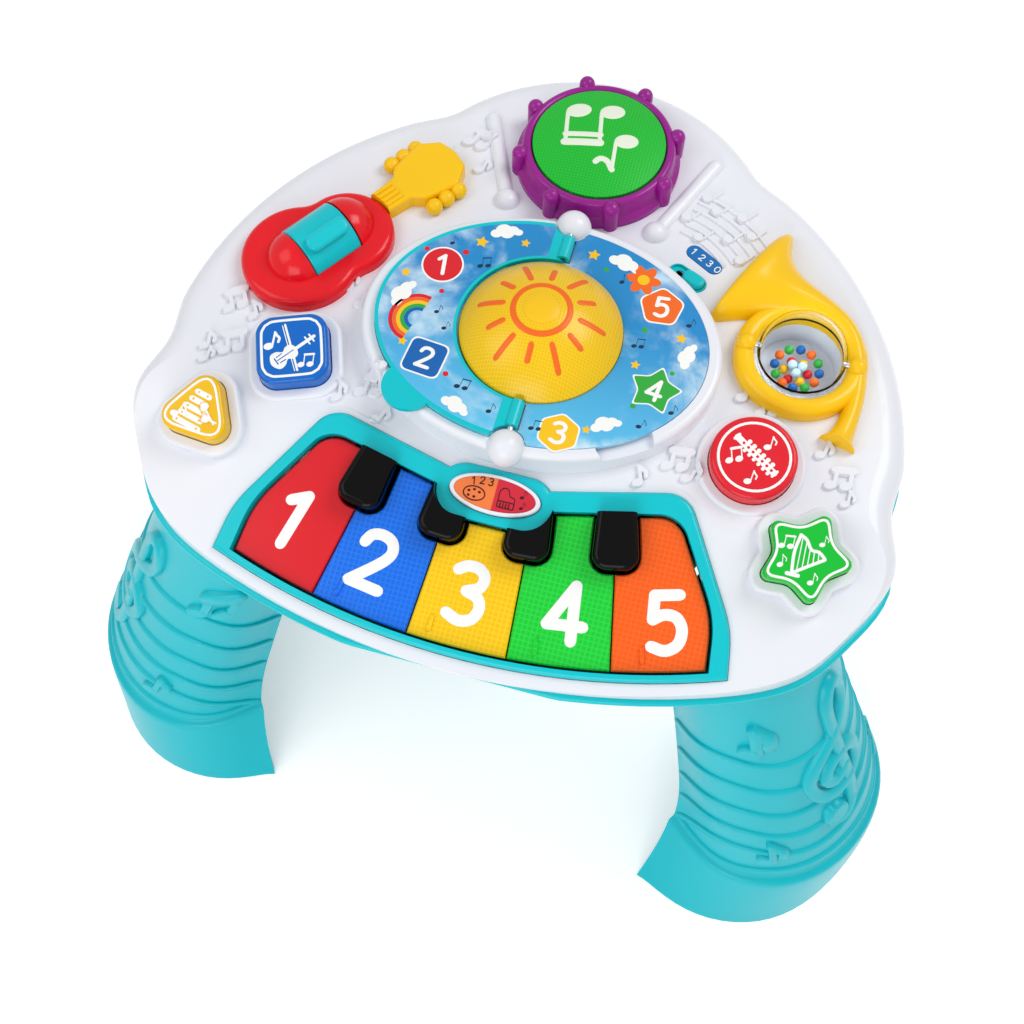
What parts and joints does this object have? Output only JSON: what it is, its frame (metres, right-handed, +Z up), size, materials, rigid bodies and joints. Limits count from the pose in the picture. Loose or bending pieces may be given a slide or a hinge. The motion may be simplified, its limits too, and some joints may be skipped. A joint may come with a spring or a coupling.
{
  "type": "musical activity table",
  "caption": "Round musical activity table for a toddler: piano keys, drum pad, strum guitar, horn with a rattle ball, press buttons and a page to turn, on hollow splayed legs.",
  "frame": {"origin": "on the floor, under the middle of the rectangle that the three feet span", "axes": "+Z up, +Y from the keyboard to the drum, +X to the right of a player who faces the keyboard"},
  "size_m": [0.4974, 0.4355, 0.29],
  "materials": {
    "shell_white": "glossy moulded",
    "teal": "glossy moulded",
    "leg_turquoise": "satin moulded",
    "key_red": "glossy",
    "key_blue": "translucent glossy",
    "key_yellow": "translucent glossy",
    "key_green": "translucent glossy",
    "key_orange": "translucent glossy",
    "black": "high gloss",
    "purple": "glossy",
    "pad_green": "fine textured",
    "amber": "translucent lens",
    "horn_yellow": "glossy",
    "guitar_red": "glossy",
    "neck_yellow": "glossy",
    "button_blue": "translucent glossy",
    "button_red": "translucent glossy",
    "button_yellow": "translucent glossy",
    "button_green": "translucent glossy",
    "print_sky": "printed film",
    "clear": "clear moulded plastic",
    "beads": "glossy",
    "steel": "bright",
    "rubber_grey": "matte",
    "board_green": "solder mask",
    "cell": "printed sleeve",
    "cone_black": "matte",
    "label_blue": "printed film",
    "mode_orange": "printed film"
  },
  "bodies": {
    "table": {"base_shell": "teal", "batteries": "cell", "battery_contacts": "steel", "battery_door": "teal", "black_keys": "black", "circuit_board": "board_green", "door_screw": "steel", "drum_rim": "purple", "guitar_body": "guitar_red", "guitar_neck": "neck_yellow", "horn": "horn_yellow", "housing_screws": "steel", "key_board": "board_green", "key_domes": "rubber_grey", "key_rod": "steel", "lamp_board": "board_green", "leg_front_left": "leg_turquoise", "leg_front_right": "leg_turquoise", "leg_rear": "leg_turquoise", "page_pins": "steel", "piano_frame": "teal", "picture_plate": "print_sky", "roller_axle": "steel", "rubber_dome_circle": "rubber_grey", "rubber_dome_drum": "rubber_grey", "rubber_dome_square": "rubber_grey", "rubber_dome_star": "rubber_grey", "rubber_dome_triangle": "rubber_grey", "rubber_domes_mode": "rubber_grey", "speaker": "cone_black", "sun_dome": "amber", "switch_bezel": "teal", "switch_label": "label_blue", "top_shell": "shell_white"},
    "key_1": {"key_1": "key_red"},
    "key_2": {"key_2": "key_blue"},
    "key_3": {"key_3": "key_yellow"},
    "key_4": {"key_4": "key_green"},
    "key_5": {"key_5": "key_orange"},
    "button_square": {"button_square": "button_blue"},
    "button_circle": {"button_circle": "button_red"},
    "button_triangle": {"button_triangle": "button_yellow"},
    "button_star": {"button_star": "button_green"},
    "drum_pad": {"drum_pad": "pad_green"},
    "mode_button": {"mode_button": "shell_white", "mode_label": "mode_orange"},
    "picture_page": {"picture_page": "teal"},
    "strum_roller": {"strum_roller": "teal"},
    "rattle_ball": {"rattle_ball_upper": "clear", "rattle_ball_lower": "clear", "ball_pins": "steel", "rattle_beads": "beads"},
    "switch_knob": {"switch_knob": "teal"}
  },
  "joints": [
    {"name": "key_1_press", "type": "hinge", "parent": "table", "child": "key_1", "pos_m": [0, -0.0832, 0.2407], "axis": [1, 0, 0], "range_deg": [0, 2.2], "stiffness_Nm_per_rad": 2, "springref_deg": -1.15},
    {"name": "key_2_press", "type": "hinge", "parent": "table", "child": "key_2", "pos_m": [0, -0.0832, 0.2407], "axis": [1, 0, 0], "range_deg": [0, 2.2], "stiffness_Nm_per_rad": 2, "springref_deg": -1.15},
    {"name": "key_3_press", "type": "hinge", "parent": "table", "child": "key_3", "pos_m": [0, -0.0832, 0.2407], "axis": [1, 0, 0], "range_deg": [0, 2.2], "stiffness_Nm_per_rad": 2, "springref_deg": -1.15},
    {"name": "key_4_press", "type": "hinge", "parent": "table", "child": "key_4", "pos_m": [0, -0.0832, 0.2407], "axis": [1, 0, 0], "range_deg": [0, 2.2], "stiffness_Nm_per_rad": 2, "springref_deg": -1.15},
    {"name": "key_5_press", "type": "hinge", "parent": "table", "child": "key_5", "pos_m": [0, -0.0832, 0.2407], "axis": [1, 0, 0], "range_deg": [0, 2.2], "stiffness_Nm_per_rad": 2, "springref_deg": -1.15},
    {"name": "button_square_press", "type": "slide", "parent": "table", "child": "button_square", "axis": [0, 0.1392, -0.9903], "range_m": [0, 0.003], "stiffness_N_per_m": 900, "springref_m": -0.001, "deforming": ["rubber_dome_square"]},
    {"name": "button_circle_press", "type": "slide", "parent": "table", "child": "button_circle", "axis": [0, 0.1392, -0.9903], "range_m": [0, 0.003], "stiffness_N_per_m": 900, "springref_m": -0.001, "deforming": ["rubber_dome_circle"]},
    {"name": "button_triangle_press", "type": "slide", "parent": "table", "child": "button_triangle", "axis": [0, 0.2588, -0.9659], "range_m": [0, 0.003], "stiffness_N_per_m": 900, "springref_m": -0.001, "deforming": ["rubber_dome_triangle"]},
    {"name": "button_star_press", "type": "slide", "parent": "table", "child": "button_star", "axis": [0, 0.2588, -0.9659], "range_m": [0, 0.003], "stiffness_N_per_m": 900, "springref_m": -0.001, "deforming": ["rubber_dome_star"]},
    {"name": "drum_pad_press", "type": "slide", "parent": "table", "child": "drum_pad", "axis": [0, 0, -1], "range_m": [0, 0.002], "stiffness_N_per_m": 1500, "springref_m": -0.0008, "deforming": ["rubber_dome_drum"]},
    {"name": "mode_button_press", "type": "slide", "parent": "table", "child": "mode_button", "axis": [0, 0.2588, -0.9659], "range_m": [0, 0.0015], "stiffness_N_per_m": 900, "springref_m": -0.0008, "deforming": ["rubber_domes_mode"]},
    {"name": "page_turn", "type": "hinge", "parent": "table", "child": "picture_page", "pos_m": [0, -0.04524, 0.27005], "axis": [0, 1, 0], "range_deg": [0, 178]},
    {"name": "strum_rock", "type": "hinge", "parent": "table", "child": "strum_roller", "pos_m": [-0.12155, 0.01074, 0.258], "axis": [0.5592, 0.829, 0], "range_deg": [-30, 30], "stiffness_Nm_per_rad": 0.06},
    {"name": "rattle_spin", "type": "hinge", "parent": "table", "child": "rattle_ball", "pos_m": [0.124, 0.00876, 0.2625], "axis": [1, 0, 0], "continuous": true},
    {"name": "switch_slide", "type": "slide", "parent": "table", "child": "switch_knob", "axis": [0.9063, -0.4226, 0], "range_m": [-0.0068, 0]}
  ]
}
